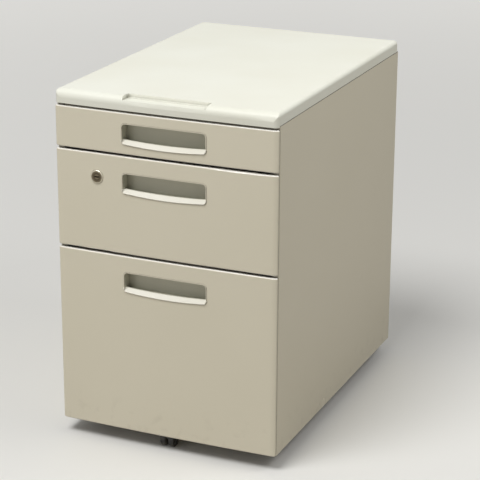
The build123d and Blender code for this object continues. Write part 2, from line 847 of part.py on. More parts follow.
# Lanced bridges on the liner that hold the bolt
def add_bolt_bridges():
    for x in (bolt_tip_x + bridge_tip_gap, lock_x - lock_face_radius - bridge_crank_gap):
        grow = lock_fit + bridge_wall
        add_box((x, bolt_front_y - grow, bolt_low - grow),
                (x + bridge_width, liner_inner_y, bolt_high + grow))
        add_box((x - past, bolt_front_y - lock_fit, bolt_low - lock_fit),
                (x + bridge_width + past, liner_inner_y, bolt_high + lock_fit), mode=Mode.SUBTRACT)


# Vertical lock bar inside the left panel: one tab in front of each drawer's catch, one ramp over the bolt
def make_lock_bar():
    low = catch_low(drawers["file"]) - bar_tail
    high = catch_low(drawers["top"]) + catch_height / 2
    ramp = bolt_height - catch_sheet * 2
    ramp_gap = slide_gap * 2**0.5
    ramp_end_x = bolt_tip_x - crank_sheet
    ramp_z = bolt_high - ramp + ramp_gap
    with BuildPart() as bar:
        add_box((bar_outer_x, bar_front_y, low), (bar_inner_x, bar_rear_y, high))
        for data in drawers.values():
            tab_top = catch_low(data) - catch_gap
            add_box((bar_outer_x, bar_rear_y - catch_sheet, tab_top - catch_height),
                    (-box_half - catch_sheet, bar_rear_y, tab_top))
        with BuildSketch(Plane.XZ.offset(-bolt_front_y + slide_gap)):
            with BuildLine():
                Polyline((bar_inner_x, ramp_z + bar_inner_x - bolt_tip_x),
                         (ramp_end_x, ramp_z + ramp_end_x - bolt_tip_x),
                         (ramp_end_x, bolt_high + bolt_sheet),
                         (bar_inner_x, bolt_high + bolt_sheet), close=True)
            make_face()
        extrude(amount=-(bolt_sheet + 2 * slide_gap))
    return bar


def make_bar_guides():
    low_guide = catch_low(drawers["file"]) + guide_above_catch
    high_guide = catch_low(drawers["middle"]) - guide_below_catch
    grow = guide_fit + guide_sheet
    with BuildPart() as guides:
        for z in (low_guide, high_guide):
            top = z + guide_height
            add_box((-panel_inner_x, bar_front_y - grow, z), (bar_inner_x + grow, bar_rear_y + grow, top))
            add_box((-panel_inner_x, bar_front_y - guide_fit, z - past),
                    (bar_inner_x + guide_fit, bar_rear_y + guide_fit, top + past), mode=Mode.SUBTRACT)
    return guides


# Casters: plate with kingpin, swivelling hood, axle and a pair of wheels
caster_front_y = panel_front_y + caster_front_setback
caster_rear_y = back_y - caster_rear_setback
caster_x = half_width - caster_side_inset
caster_places = {
    "front_left": (-caster_x, caster_front_y),
    "front_right": (caster_x, caster_front_y),
    "rear_left": (-caster_x, caster_rear_y),
    "rear_right": (caster_x, caster_rear_y),
}
plate_low = base_height - sheet - plate_sheet
boss_top = plate_low - race_height - slide_gap
wheel_inner = caster_web / 2 + wheel_gap
wheel_outer = wheel_inner + wheel_width
hood_radius = wheel_radius + hood_gap


def make_caster_plates():
    with BuildPart() as plates:
        for x, y in caster_places.values():
            half = plate_size / 2
            add_box((x - half, y - half, plate_low), (x + half, y + half, plate_low + plate_sheet))
            with Locations((x, y, plate_low)):
                Cylinder(race_radius, race_height, align=hanging)
                Cylinder(kingpin_radius, race_height + slide_gap + kingpin_length, align=hanging)
    return plates


def make_caster_housing(x, y):
    axle_y = y + caster_trail
    half = wheel_outer - hood_side_inset
    with BuildPart() as housing:
        with BuildSketch(Plane.YZ.offset(x - half)):
            with Locations((axle_y, wheel_radius)):
                Circle(hood_radius + hood_wall)
            with Locations((axle_y, wheel_radius + hood_skirt - hood_radius)):
                Rectangle(4 * hood_radius, 2 * hood_radius, mode=Mode.SUBTRACT)
        extrude(amount=2 * half)
        with Locations((x, y, boss_top)):
            Cylinder(boss_radius, boss_top - wheel_radius - boss_clear, align=hanging)
        for side_x in (x + caster_web / 2, x - wheel_outer - past):
            with BuildSketch(Plane.YZ.offset(side_x)):
                with Locations((axle_y, wheel_radius)):
                    Circle(hood_radius)
            extrude(amount=wheel_outer + past - caster_web / 2, mode=Mode.SUBTRACT)
        # the web between the wheels comes down to the axle
        with BuildSketch(Plane.YZ.offset(x - caster_web / 2)):
            with Locations((axle_y, wheel_radius)):
                Circle(web_lobe_radius)
        extrude(amount=caster_web)
        with BuildSketch(Plane.YZ.offset(x - caster_web / 2 - past)):
            with Locations((axle_y, wheel_radius)):
                Circle(axle_radius + running_fit / 2)
        extrude(amount=caster_web + 2 * past, mode=Mode.SUBTRACT)
        with Locations((x, y, boss_top)):
            Cylinder(kingpin_radius + running_fit, kingpin_length + kingpin_end_gap, align=hanging,
                     mode=Mode.SUBTRACT)
    return housing


def make_axle(x, y, z, radius, half_length):
    with BuildPart() as axle:
        with BuildSketch(Plane.YZ.offset(x - half_length)):
            with Locations((y, z)):
                Circle(radius)
        extrude(amount=2 * half_length)
    return axle


# Wheel pair, each wheel chamfered on its outer side
def make_wheel_pair(x, y, radius, inner, width, bore):
    edge = width * wheel_edge_share
    with BuildPart() as pair:
        for s in (-1, 1):
            a = x + s * inner
            b = x + s * (inner + width)
            with BuildSketch(Plane.XZ.offset(-y)):
                with BuildLine():
                    Polyline((a, radius + bore), (a, 2 * radius), (b - s * edge, 2 * radius),
                             (b, 2 * radius - edge), (b, radius + bore), close=True)
                make_face()
            revolve(axis=Axis((0, y, radius), (1, 0, 0)))
    return pair


# Support roller under the file drawer's front
roller_y = crown_y + roller_setback
bracket_top = floor_gap + liner_inset
roller_inner = roller_web / 2 + wheel_gap


def make_roller_bracket():
    plate_low_z = bracket_top - catch_sheet
    plate_front_y = front_rear_y + sheet + bracket_gap
    with BuildPart() as bracket:
        add_box((roller_x - bracket_half, plate_front_y, plate_low_z),
                (roller_x + bracket_half, liner_rear_y, bracket_top))
        with BuildSketch(Plane.YZ.offset(roller_x - roller_web / 2)):
            with BuildLine():
                Polyline((plate_front_y, plate_low_z), (liner_rear_y, plate_low_z),
                         (roller_y + bracket_lobe, roller_radius), (roller_y, roller_radius - bracket_lobe),
                         (roller_y - bracket_lobe, roller_radius), close=True)
            make_face()
            with Locations((roller_y, roller_radius)):
                Circle(roller_axle_radius + running_fit / 2, mode=Mode.SUBTRACT)
        extrude(amount=roller_web)
    return bracket


# Cabinet
keep(make_top_cap(), "top_cap")
keep(make_top_pan(), "top_pan")
side_right = make_side_panel()
keep(side_right, "side_panel_right")
keep(mirrored(side_right), "side_panel_left")
keep(make_back_panel(), "back_panel")
keep(make_base_pan(), "base_pan")
keep(make_posts(), "slide_posts")
keep(make_bumpers(), "front_bumpers")
keep(make_caster_plates(), "caster_plates")
keep(make_bar_guides(), "lock_bar_guides")
keep(make_lock_bar(), "lock_bar")

# Drawers
for name, data in drawers.items():
    skin = make_front_skin(data)
    liner = make_liner(data)
    if name == "middle":
        with BuildPart() as skin_with_lock:
            add(skin)
            with BuildSketch(Plane.XZ.offset(-crown_y)):
                with Locations((lock_x, lock_height)):
                    Circle(lock_barrel_radius + barrel_fit)
            extrude(amount=-front_shell_depth / 2, mode=Mode.SUBTRACT)
        skin = skin_with_lock
        with BuildPart() as liner_with_lock:
            add(liner)
            add_bolt_bridges()
            add_box((-liner_half - past, bolt_front_y - bolt_notch, bolt_low - bolt_notch),
                    (-liner_half + panel_bend + sheet, bolt_rear_y + bolt_notch, bolt_high + bolt_notch),
                    mode=Mode.SUBTRACT)
        liner = liner_with_lock
    keep(skin, f"{name}_front_skin")
    keep(liner, f"{name}_front_liner")
    keep(make_pull(data), f"{name}_pull")
    keep_welded(make_box(data), f"{name}_box")
    rail = make_cabinet_rail(data)
    keep(rail, f"{name}_cabinet_rail_right")
    keep(mirrored(rail), f"{name}_cabinet_rail_left")
    runner = make_drawer_rail(data, name == "file")
    keep(runner, f"{name}_drawer_rail_right")
    keep(mirrored(runner), f"{name}_drawer_rail_left")

middle_member = make_middle_member(drawers["file"])
keep(middle_member, "file_middle_rail_right")
keep(mirrored(middle_member), "file_middle_rail_left")
keep(make_pen_tray(drawers["top"]), "pen_tray")
keep(make_divider(drawers["middle"]), "middle_divider")
keep(make_divider(drawers["file"]), "file_divider")

# Lock on the middle drawer
keep(make_lock_housing(), "lock_housing")
keep(make_lock_cylinder(), "lock_cylinder")
keep(make_lock_bolt(), "lock_bolt")

# Casters and roller
for place, (x, y) in caster_places.items():
    axle_y = y + caster_trail
    keep(make_caster_housing(x, y), f"caster_housing_{place}")
    keep(make_axle(x, axle_y, wheel_radius, axle_radius, wheel_outer - axle_inset), f"caster_axle_{place}")
    keep(make_wheel_pair(x, axle_y, wheel_radius, wheel_inner, wheel_width, axle_radius + running_fit),
         f"caster_wheels_{place}")
keep(make_roller_bracket(), "roller_bracket")
keep(make_axle(roller_x, roller_y, roller_radius, roller_axle_radius, roller_inner + roller_width),
     "roller_axle")
keep(make_wheel_pair(roller_x, roller_y, roller_radius, roller_inner, roller_width,
                     roller_axle_radius + running_fit), "roller_wheels")
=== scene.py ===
import bmesh
import bpy
import json
import math
from mathutils import Euler, Matrix, Vector


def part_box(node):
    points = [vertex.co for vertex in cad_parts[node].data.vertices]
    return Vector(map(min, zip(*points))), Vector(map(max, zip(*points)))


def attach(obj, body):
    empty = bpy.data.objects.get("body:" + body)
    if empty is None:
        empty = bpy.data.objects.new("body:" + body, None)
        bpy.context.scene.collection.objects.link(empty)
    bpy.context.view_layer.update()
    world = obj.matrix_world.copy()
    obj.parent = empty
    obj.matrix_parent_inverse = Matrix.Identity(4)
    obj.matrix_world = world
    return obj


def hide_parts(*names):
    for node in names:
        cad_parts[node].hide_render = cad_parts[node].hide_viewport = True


# Mobile pedestal with three drawers. Metres, +X right, +Y back, +Z up, origin on the floor.
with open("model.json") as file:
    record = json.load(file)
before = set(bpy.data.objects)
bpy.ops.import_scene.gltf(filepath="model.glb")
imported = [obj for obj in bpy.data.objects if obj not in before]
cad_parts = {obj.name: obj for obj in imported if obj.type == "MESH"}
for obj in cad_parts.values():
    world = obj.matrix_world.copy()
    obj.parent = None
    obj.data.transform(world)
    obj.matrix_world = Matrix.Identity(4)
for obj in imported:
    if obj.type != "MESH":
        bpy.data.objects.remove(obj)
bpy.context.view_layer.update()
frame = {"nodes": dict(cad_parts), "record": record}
nodes = frame["nodes"]
print("frame loaded:", len(nodes), "pieces from the CAD model")

mm = 0.001
drawerNames = ("top", "middle", "file")
places = ("front_left", "front_right", "rear_left", "rear_right")


def centreOf(name):
    low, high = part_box(name)
    return [(a + b) / 2 for a, b in zip(low, high)]


# Materials

def colour(hexText):
    # sRGB hex to the linear values that Blender takes
    parts = [int(hexText[i:i + 2], 16) / 255 for i in (1, 3, 5)]
    return [c / 12.92 if c <= 0.04045 else ((c + 0.055) / 1.055) ** 2.4 for c in parts] + [1.0]


def add(tree, kind, links=(), **settings):
    # one node with its settings; a link is (input, output socket of another node) or (input, number)
    node = tree.nodes.new(kind)
    for key, value in settings.items():
        socket = node.inputs.get(key.replace("_", " "))
        if socket:
            socket.default_value = value
        else:
            setattr(node, key, value)
    for target, source in links:
        if isinstance(source, float):
            node.inputs[target].default_value = source
        else:
            tree.links.new(source, node.inputs[target])
    return node


def newMaterial(name):
    material = bpy.data.materials.new(name)
    material.use_nodes = True
    tree = material.node_tree
    return material, tree, tree.nodes["Principled BSDF"]


def give(material, piece):
    piece.data.materials.clear()
    piece.data.materials.append(material)


def addPaintedShade(tree, base, look):
    # painted shade: the less open a place is, in gaps, seams, corners and recesses, the darker it is painted
    reach = add(tree, "ShaderNodeAmbientOcclusion", Distance=look["shadeReach"], samples=8)
    shadeAmount = add(tree, "ShaderNodeMapRange", [("Value", reach.outputs["AO"])], From_Min=look["shadeOpen"],
               From_Max=look["shadeShut"], To_Min=0.0, To_Max=look["shadeShare"])
    shadedTone = add(tree, "ShaderNodeMix", [("Factor", shadeAmount.outputs["Result"]), ("A", base)],
                data_type="RGBA", B=colour(look["shadeColour"]))
    return shadedTone.outputs["Result"]


# Powder-coated sheet steel: polyester sprayed and baked, so it has fine orange peel and a soft, even gloss.
# The real peel is about 0.9 mm across; it is drawn at 1.6 mm so that it shows.
panelPaint = {"name": "powder_coated_steel", "colour": "#EAE3CE", "deeper": "#E5DEC8", "patch": 160 * mm,
              "peel": 1.6 * mm, "peelHeight": 0.03 * mm, "roughness": 0.25, "roughnessSpread": 0.05,
              "IOR": 1.5, "scuff": "#B3A892", "scuffTop": 95 * mm, "scuffSize": 22 * mm, "scuffShare": 0.35,
              "scuffFrom": 0.56, "scuffTo": 0.74,
              # edge and highlight keys: a painted highlight on faces that point up or down
              "edge": "#FFFBF2", "highlightShare": 1.0, "highlightFrom": 0.25, "highlightTo": 0.7,
              # shade keys: painted shade, darker in gaps and seams such as those beside the fronts
              "shadeColour": "#332E25", "shadeReach": 5 * mm, "shadeOpen": 0.86, "shadeShut": 0.5, "shadeShare": 0.95}
# inside, the same powder lies thinner and duller, no shoe rubs it, and it has no painted highlight
innerPaint = dict(panelPaint, name="powder_coated_inner_steel", colour="#DBD4C0", deeper="#D5CEB9",
                  roughness=0.48, scuffShare=0.0, highlightShare=0.0)


def makePaint(look):
    material, tree, shader = newMaterial(look["name"])
    place = add(tree, "ShaderNodeTexCoord").outputs["Object"]
    patches = add(tree, "ShaderNodeTexNoise", [("Vector", place)], Scale=1 / look["patch"], Detail=2.0)
    tone = add(tree, "ShaderNodeMix", [("Factor", patches.outputs["Fac"])], data_type="RGBA",
               A=colour(look["colour"]), B=colour(look["deeper"]))
    base = tone.outputs["Result"]
    if look["scuffShare"] > 0:  # shoe rubs low on the cabinet
        height = add(tree, "ShaderNodeSeparateXYZ", [("Vector", place)]).outputs["Z"]
        low = add(tree, "ShaderNodeMapRange", [("Value", height)], From_Min=look["scuffTop"], From_Max=0.0,
                  To_Min=0.0, To_Max=look["scuffShare"])
        rubs = add(tree, "ShaderNodeTexNoise", [("Vector", place)], Scale=1 / look["scuffSize"], Detail=6.0)
        worn = add(tree, "ShaderNodeMapRange", [("Value", rubs.outputs["Fac"])],
                   From_Min=look["scuffFrom"], From_Max=look["scuffTo"])
        share = add(tree, "ShaderNodeMath", [(0, low.outputs["Result"]), (1, worn.outputs["Result"])],
                    operation="MULTIPLY")
        rubbed = add(tree, "ShaderNodeMix", [("Factor", share.outputs[0]), ("A", base)],
                     data_type="RGBA", B=colour(look["scuff"]))
        base = rubbed.outputs["Result"]
    if look["highlightShare"] > 0:  # painted highlight: the more a face points up or down, the paler it is painted
        facing = add(tree, "ShaderNodeNewGeometry").outputs["Normal"]
        upward = add(tree, "ShaderNodeSeparateXYZ", [("Vector", facing)]).outputs["Z"]
        tilt = add(tree, "ShaderNodeMath", [(0, upward)], operation="ABSOLUTE").outputs[0]
        folded = add(tree, "ShaderNodeMapRange", [("Value", tilt)], From_Min=look["highlightFrom"],
                     From_Max=look["highlightTo"], To_Min=0.0, To_Max=look["highlightShare"])
        paler = add(tree, "ShaderNodeMix", [("Factor", folded.outputs["Result"]), ("A", base)],
                    data_type="RGBA", B=colour(look["edge"]))
        base = paler.outputs["Result"]
    # painted shade over the base colour
    tree.links.new(addPaintedShade(tree, base, look), shader.inputs["Base Color"])
    peel = add(tree, "ShaderNodeTexNoise", [("Vector", place)], Scale=1 / look["peel"], Detail=1.5)
    bump = add(tree, "ShaderNodeBump", [("Height", peel.outputs["Fac"])], Distance=look["peelHeight"])
    tree.links.new(bump.outputs["Normal"], shader.inputs["Normal"])
    sheen = add(tree, "ShaderNodeMapRange", [("Value", patches.outputs["Fac"])],
                To_Min=look["roughness"] - look["roughnessSpread"],
                To_Max=look["roughness"] + look["roughnessSpread"])
    tree.links.new(sheen.outputs["Result"], shader.inputs["Roughness"])
    shader.inputs["IOR"].default_value = look["IOR"]
    return material


# Moulded plastics: a spark-eroded mould leaves an even matt grain; the colour drifts a little with age.
# The real grain is about 0.4 mm; it is drawn at "grain" so that it shows.
capPlastic = {"name": "moulded_abs_cover", "colour": "#F2F2E5", "deeper": "#EEEDDE", "patch": 210 * mm,
              "driftFrom": 0.35, "driftTo": 0.65,
              "grain": 1.3 * mm, "grainHeight": 0.025 * mm, "roughness": 0.46, "IOR": 1.54,
              # shade keys: painted shade, here mostly in the pencil scoop
              "shadeColour": "#7F7C6C", "shadeReach": 9 * mm, "shadeOpen": 0.92, "shadeShut": 0.5, "shadeShare": 0.95}
trayPlastic = dict(capPlastic, name="moulded_abs_tray", colour="#232324", deeper="#2B2B2C", patch=45 * mm,
                   grain=0.9 * mm, grainHeight=0.05 * mm, roughness=0.5, shadeShare=0.12)
hoodNylon = dict(capPlastic, name="moulded_nylon_hood", colour="#1B1B1C", deeper="#242425", patch=30 * mm,
                 grain=0.8 * mm, grainHeight=0.06 * mm, roughness=0.45, IOR=1.53, shadeShare=0.3)
wheelNylon = dict(capPlastic, name="moulded_nylon_wheel", colour="#2C2D2F", deeper="#4A4844", patch=9 * mm,
                  grain=0.7 * mm, grainHeight=0.08 * mm, roughness=0.6, IOR=1.53, shadeShare=0.4)
stopRubber = dict(capPlastic, name="moulded_rubber_stop", colour="#1A1A1A", deeper="#262524", patch=4 * mm,
                  grain=0.5 * mm, grainHeight=0.05 * mm, roughness=0.85, IOR=1.52, shadeShare=0.2)


def finishMoulded(look, tree, shader, place, tone):
    # painted shade in crevices over the tone, the grain that the mould left, and the plastic's own gloss
    grain = add(tree, "ShaderNodeTexNoise", [("Vector", place)], Scale=1 / look["grain"], Detail=2.0)
    bump = add(tree, "ShaderNodeBump", [("Height", grain.outputs["Fac"])], Distance=look["grainHeight"])
    tree.links.new(addPaintedShade(tree, tone, look), shader.inputs["Base Color"])
    tree.links.new(bump.outputs["Normal"], shader.inputs["Normal"])
    shader.inputs["Roughness"].default_value = look["roughness"]
    shader.inputs["IOR"].default_value = look["IOR"]


def makePlastic(look):
    material, tree, shader = newMaterial(look["name"])
    place = add(tree, "ShaderNodeTexCoord").outputs["Object"]
    patches = add(tree, "ShaderNodeTexNoise", [("Vector", place)], Scale=1 / look["patch"], Detail=3.0)
    drift = add(tree, "ShaderNodeMapRange", [("Value", patches.outputs["Fac"])],
                From_Min=look["driftFrom"], From_Max=look["driftTo"])
    tone = add(tree, "ShaderNodeMix", [("Factor", drift.outputs["Result"])], data_type="RGBA",
               A=colour(look["colour"]), B=colour(look["deeper"]))
    finishMoulded(look, tree, shader, place, tone.outputs["Result"])
    return material


# Moulded ABS: the lip is off-white and the collar near the panel's own tone; the cup behind them is painted a
# darker grey-green as painted shade in the recess. "front" is the collar's face, "roofs" the height of each
# cup's roof.
pullPlastic = {"name": "abs_pull_painted_cup_shade", "lip": "#EFECDF", "lipDeeper": "#E9E5D6", "collar": "#DCD5C2",
               "cup": "#C9C7B6", "cupDeeper": "#C0BEAD", "patch": 60 * mm,
               "front": -288.5 * mm, "cupDepth": 1.2 * mm, "ridgeDepth": 5.6 * mm, "ridgeDrop": 26.2 * mm,
               "roofs": {"top": 566.0 * mm, "middle": 482.7 * mm, "file": 311.7 * mm},
               "grain": 1.1 * mm, "grainHeight": 0.03 * mm, "roughness": 0.4, "IOR": 1.54,
               # shade keys: painted shade deep in the pull's cup
               "shadeColour": "#57523F", "shadeReach": 13 * mm, "shadeOpen": 0.62, "shadeShut": 0.15, "shadeShare": 0.6}


def makePull(look, roof):
    material, tree, shader = newMaterial(look["name"])
    place = add(tree, "ShaderNodeTexCoord").outputs["Object"]
    patches = add(tree, "ShaderNodeTexNoise", [("Vector", place)], Scale=1 / look["patch"], Detail=3.0)
    lip = add(tree, "ShaderNodeMix", [("Factor", patches.outputs["Fac"])], data_type="RGBA",
              A=colour(look["lip"]), B=colour(look["lipDeeper"]))
    # the cup's darker tone is painted shade
    cup = add(tree, "ShaderNodeMix", [("Factor", patches.outputs["Fac"])], data_type="RGBA",
              A=colour(look["cup"]), B=colour(look["cupDeeper"]))
    # the painted cup shade starts behind the collar, and behind the ridge on the lip
    axes = add(tree, "ShaderNodeSeparateXYZ", [("Vector", place)])
    cupFront, ridgeRear = look["front"] + look["cupDepth"], look["front"] + look["ridgeDepth"]
    behindCollar = add(tree, "ShaderNodeMath", [(0, axes.outputs["Y"]), (1, cupFront)],
                       operation="GREATER_THAN")
    behindRidge = add(tree, "ShaderNodeMath", [(0, axes.outputs["Y"]), (1, ridgeRear)],
                      operation="GREATER_THAN")
    aboveLip = add(tree, "ShaderNodeMath", [(0, axes.outputs["Z"]), (1, roof - look["ridgeDrop"])],
                   operation="GREATER_THAN")
    wall = add(tree, "ShaderNodeMath", [(0, behindCollar.outputs[0]), (1, aboveLip.outputs[0])],
               operation="MULTIPLY")
    inside = add(tree, "ShaderNodeMath", [(0, wall.outputs[0]), (1, behindRidge.outputs[0])],
                 operation="MAXIMUM")
    rim = add(tree, "ShaderNodeMath", [(0, aboveLip.outputs[0]), (1, wall.outputs[0])], operation="SUBTRACT")
    front = add(tree, "ShaderNodeMix", [("Factor", rim.outputs[0]), ("A", lip.outputs["Result"])],
                data_type="RGBA", B=colour(look["collar"]))
    tone = add(tree, "ShaderNodeMix", [("Factor", inside.outputs[0]), ("A", front.outputs["Result"]),
                                       ("B", cup.outputs["Result"])], data_type="RGBA")
    finishMoulded(look, tree, shader, place, tone.outputs["Result"])
    return material


# Hot-dip galvanised sheet: flat crystals of zinc, each a little lighter or darker than the next
zincSheet = {"name": "galvanised_sheet", "light": "#C6C8C8", "dark": "#A2A5A6", "crystal": 7 * mm,
             "roughnessLow": 0.32, "roughnessHigh": 0.5}


def makeZinc(look):
    material, tree, shader = newMaterial(look["name"])
    place = add(tree, "ShaderNodeTexCoord").outputs["Object"]
    cells = add(tree, "ShaderNodeTexVoronoi", [("Vector", place)], Scale=1 / look["crystal"], Randomness=1.0)
    grey = add(tree, "ShaderNodeSeparateColor", [("Color", cells.outputs["Color"])]).outputs["Red"]
    tone = add(tree, "ShaderNodeMix", [("Factor", grey)], data_type="RGBA",
               A=colour(look["dark"]), B=colour(look["light"]))
    gloss = add(tree, "ShaderNodeMapRange", [("Value", grey)], To_Min=look["roughnessLow"],
                To_Max=look["roughnessHigh"])
    tree.links.new(tone.outputs["Result"], shader.inputs["Base Color"])
    tree.links.new(gloss.outputs["Result"], shader.inputs["Roughness"])
    shader.inputs["Metallic"].default_value = 1.0
    return material


# Bright metals with fine lines one way: along the slides as they were rolled, along the axles as they were
# drawn, and faint brushing from front to back on the lock's plated ring. "line" is the size of one line along
# x, y and z. The real lines are under 0.1 mm wide and are drawn coarser so that they show.
slideSteel = {"name": "zinc_plated_roll_formed_steel", "light": "#D2D5D8", "dark": "#A9ADB1",
              "line": (0.9 * mm, 90 * mm, 0.9 * mm), "roughnessLow": 0.24, "roughnessHigh": 0.42}
axleSteel = {"name": "bright_drawn_steel", "light": "#C9CACC", "dark": "#97999C",
             "line": (14 * mm, 0.6 * mm, 0.6 * mm), "roughnessLow": 0.2, "roughnessHigh": 0.38}
ringNickel = {"name": "satin_nickel_plated_brass", "light": "#E4DECD", "dark": "#D6CFBC",
              "line": (2.5 * mm, 9 * mm, 2.5 * mm), "roughnessLow": 0.36, "roughnessHigh": 0.46}


def makeLined(look):
    material, tree, shader = newMaterial(look["name"])
    place = add(tree, "ShaderNodeTexCoord").outputs["Object"]
    stretched = add(tree, "ShaderNodeMapping", [("Vector", place)], Scale=[1 / s for s in look["line"]])
    lines = add(tree, "ShaderNodeTexNoise", [("Vector", stretched.outputs["Vector"])], Scale=1.0, Detail=3.0)
    tone = add(tree, "ShaderNodeMix", [("Factor", lines.outputs["Fac"])], data_type="RGBA",
               A=colour(look["dark"]), B=colour(look["light"]))
    gloss = add(tree, "ShaderNodeMapRange", [("Value", lines.outputs["Fac"])], To_Min=look["roughnessHigh"],
                To_Max=look["roughnessLow"])
    tree.links.new(tone.outputs["Result"], shader.inputs["Base Color"])
    tree.links.new(gloss.outputs["Result"], shader.inputs["Roughness"])
    shader.inputs["Metallic"].default_value = 1.0
    return material


# Face of the key cylinder: die-cast zinc, turned on a lathe and toned, so rings run round its centre.
# The real ones are about 0.1 mm apart; they are drawn 5.65 mm apart so that they show.
lockFace = {"name": "turned_brass_toned_zinc", "light": "#8C826D", "dark": "#62594A", "ring": 5.65 * mm,
            "ringHeight": 0.02 * mm, "metallic": 0.9, "roughness": 0.4}
waveScale = 20 / (2 * math.pi)  # rings in one metre of a wave texture at scale 1


def makeTurned(look, centre):
    material, tree, shader = newMaterial(look["name"])
    place = add(tree, "ShaderNodeTexCoord").outputs["Object"]
    moved = add(tree, "ShaderNodeMapping", [("Vector", place)], Location=[-c for c in centre])
    rings = add(tree, "ShaderNodeTexWave", [("Vector", moved.outputs["Vector"])], wave_type="RINGS",
                rings_direction="Y", Scale=1 / look["ring"] / waveScale, Distortion=0.4, Detail=1.0)
    tone = add(tree, "ShaderNodeMix", [("Factor", rings.outputs["Fac"])], data_type="RGBA",
               A=colour(look["dark"]), B=colour(look["light"]))
    bump = add(tree, "ShaderNodeBump", [("Height", rings.outputs["Fac"])], Distance=look["ringHeight"])
    tree.links.new(tone.outputs["Result"], shader.inputs["Base Color"])
    tree.links.new(bump.outputs["Normal"], shader.inputs["Normal"])
    shader.inputs["Metallic"].default_value = look["metallic"]
    shader.inputs["Roughness"].default_value = look["roughness"]
    return material


slotFinish = {"panel_paint": makePaint(panelPaint), "inner_paint": makePaint(innerPaint),
              "cap_plastic": makePlastic(capPlastic), "tray_plastic": makePlastic(trayPlastic),
              "caster_plastic": makePlastic(hoodNylon), "wheel_plastic": makePlastic(wheelNylon),
              "bumper_rubber": makePlastic(stopRubber), "zinc_steel": makeZinc(zincSheet),
              "slide_steel": makeLined(slideSteel), "axle_steel": makeLined(axleSteel),
              "lock_chrome": makeLined(ringNickel),
              "lock_dark": makeTurned(lockFace, centreOf("lock_housing"))}
for subpart in frame["record"]["subparts"]:
    if subpart["material_slot"] != "pull_plastic":
        give(slotFinish[subpart["material_slot"]], nodes[subpart["node"]])
for name in drawerNames:
    give(makePull(pullPlastic, pullPlastic["roofs"][name]), nodes[name + "_pull"])
print("finishes given to the CAD pieces")


# Modelling helpers

near = 0.1 * mm  # places this close count as the same
along = 0.99  # a face looks along an axis if this much of its normal does
smoothAngle = 35  # degrees; edges that fold less are shaded smooth
mergeGap = 0.001 * mm  # doubles this close are merged


def startEdit(name):
    # the primitive that was just added, with its place in its mesh, open for editing
    piece = bpy.context.object
    piece.name = piece.data.name = name
    bpy.ops.object.transform_apply(location=True, rotation=True, scale=True)
    bpy.ops.object.mode_set(mode="EDIT")
    return piece


def startBlock(name, low, high):
    # a block between two corners
    bpy.ops.object.select_all(action="DESELECT")
    centre = [(a + b) / 2 for a, b in zip(low, high)]
    size = [b - a for a, b in zip(low, high)]
    bpy.ops.mesh.primitive_cube_add(size=1, location=centre, scale=size)
    return startEdit(name)


def pick(piece, kind, wanted):
    # selects the faces or edges that pass a test, and nothing else
    bpy.ops.mesh.select_mode(type=kind)
    bpy.ops.mesh.select_all(action="DESELECT")
    mesh = bmesh.from_edit_mesh(piece.data)
    for part in mesh.faces if kind == "FACE" else mesh.edges:
        part.select_set(wanted(part))
    mesh.select_flush_mode()
    bmesh.update_edit_mesh(piece.data)


def middleOf(edge):
    return (edge.verts[0].co + edge.verts[1].co) / 2


def extrudeAlongX(distance):
    bpy.ops.mesh.extrude_region_move(TRANSFORM_OT_translate={"value": (distance, 0, 0)})


def softenEdges(angle=smoothAngle):
    bpy.ops.mesh.select_all(action="SELECT")
    bpy.ops.mesh.remove_doubles(threshold=mergeGap)
    bpy.ops.object.mode_set(mode="OBJECT")
    bpy.ops.object.shade_smooth_by_angle(angle=math.radians(angle))


def joinPieces(name, pieces):
    bpy.ops.object.select_all(action="DESELECT")
    for piece in pieces:
        piece.select_set(True)
    bpy.context.view_layer.objects.active = pieces[0]
    bpy.ops.object.join()
    joined = bpy.context.object
    joined.name = joined.data.name = name
    return joined


def copyPiece(piece, name, change):
    twin = piece.copy()
    twin.data = piece.data.copy()
    twin.data.transform(change)
    twin.name = twin.data.name = name
    bpy.context.scene.collection.objects.link(twin)
    return twin


def hangPiece(piece, body, slot, replaced):
    give(slotFinish[slot], piece)
    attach(piece, body)
    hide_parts(replaced)


# Drawer boxes: one sheet folded up into four walls, with a rounded hem round the top and the catch that the
# lock bar holds. "hemFold" is the least angle, in radians, of an edge that is rounded there.
drawerBox = {"halfWidth": 171.5 * mm, "front": -263.5 * mm, "rear": 244.5 * mm, "sheet": 0.9 * mm,
             "hem": 2.0 * mm, "hemDepth": 8.0 * mm, "hemRadius": 0.7 * mm, "hemSteps": 3, "hemFold": 1.0,
             "foldRadius": 2.2 * mm, "foldSteps": 4,
             "heights": {"top": (521.5 * mm, 566.5 * mm), "middle": (352.5 * mm, 487.5 * mm),
                         "file": (72.0 * mm, 312.0 * mm)}}
boxCatch = {"end": -182.5 * mm, "front": -258.5 * mm, "sheet": 2.0 * mm, "height": 8.0 * mm,
            "corner": 1.6 * mm, "cornerSteps": 4,
            "lows": {"top": 556.0 * mm, "middle": 446.5 * mm, "file": 227.0 * mm}}


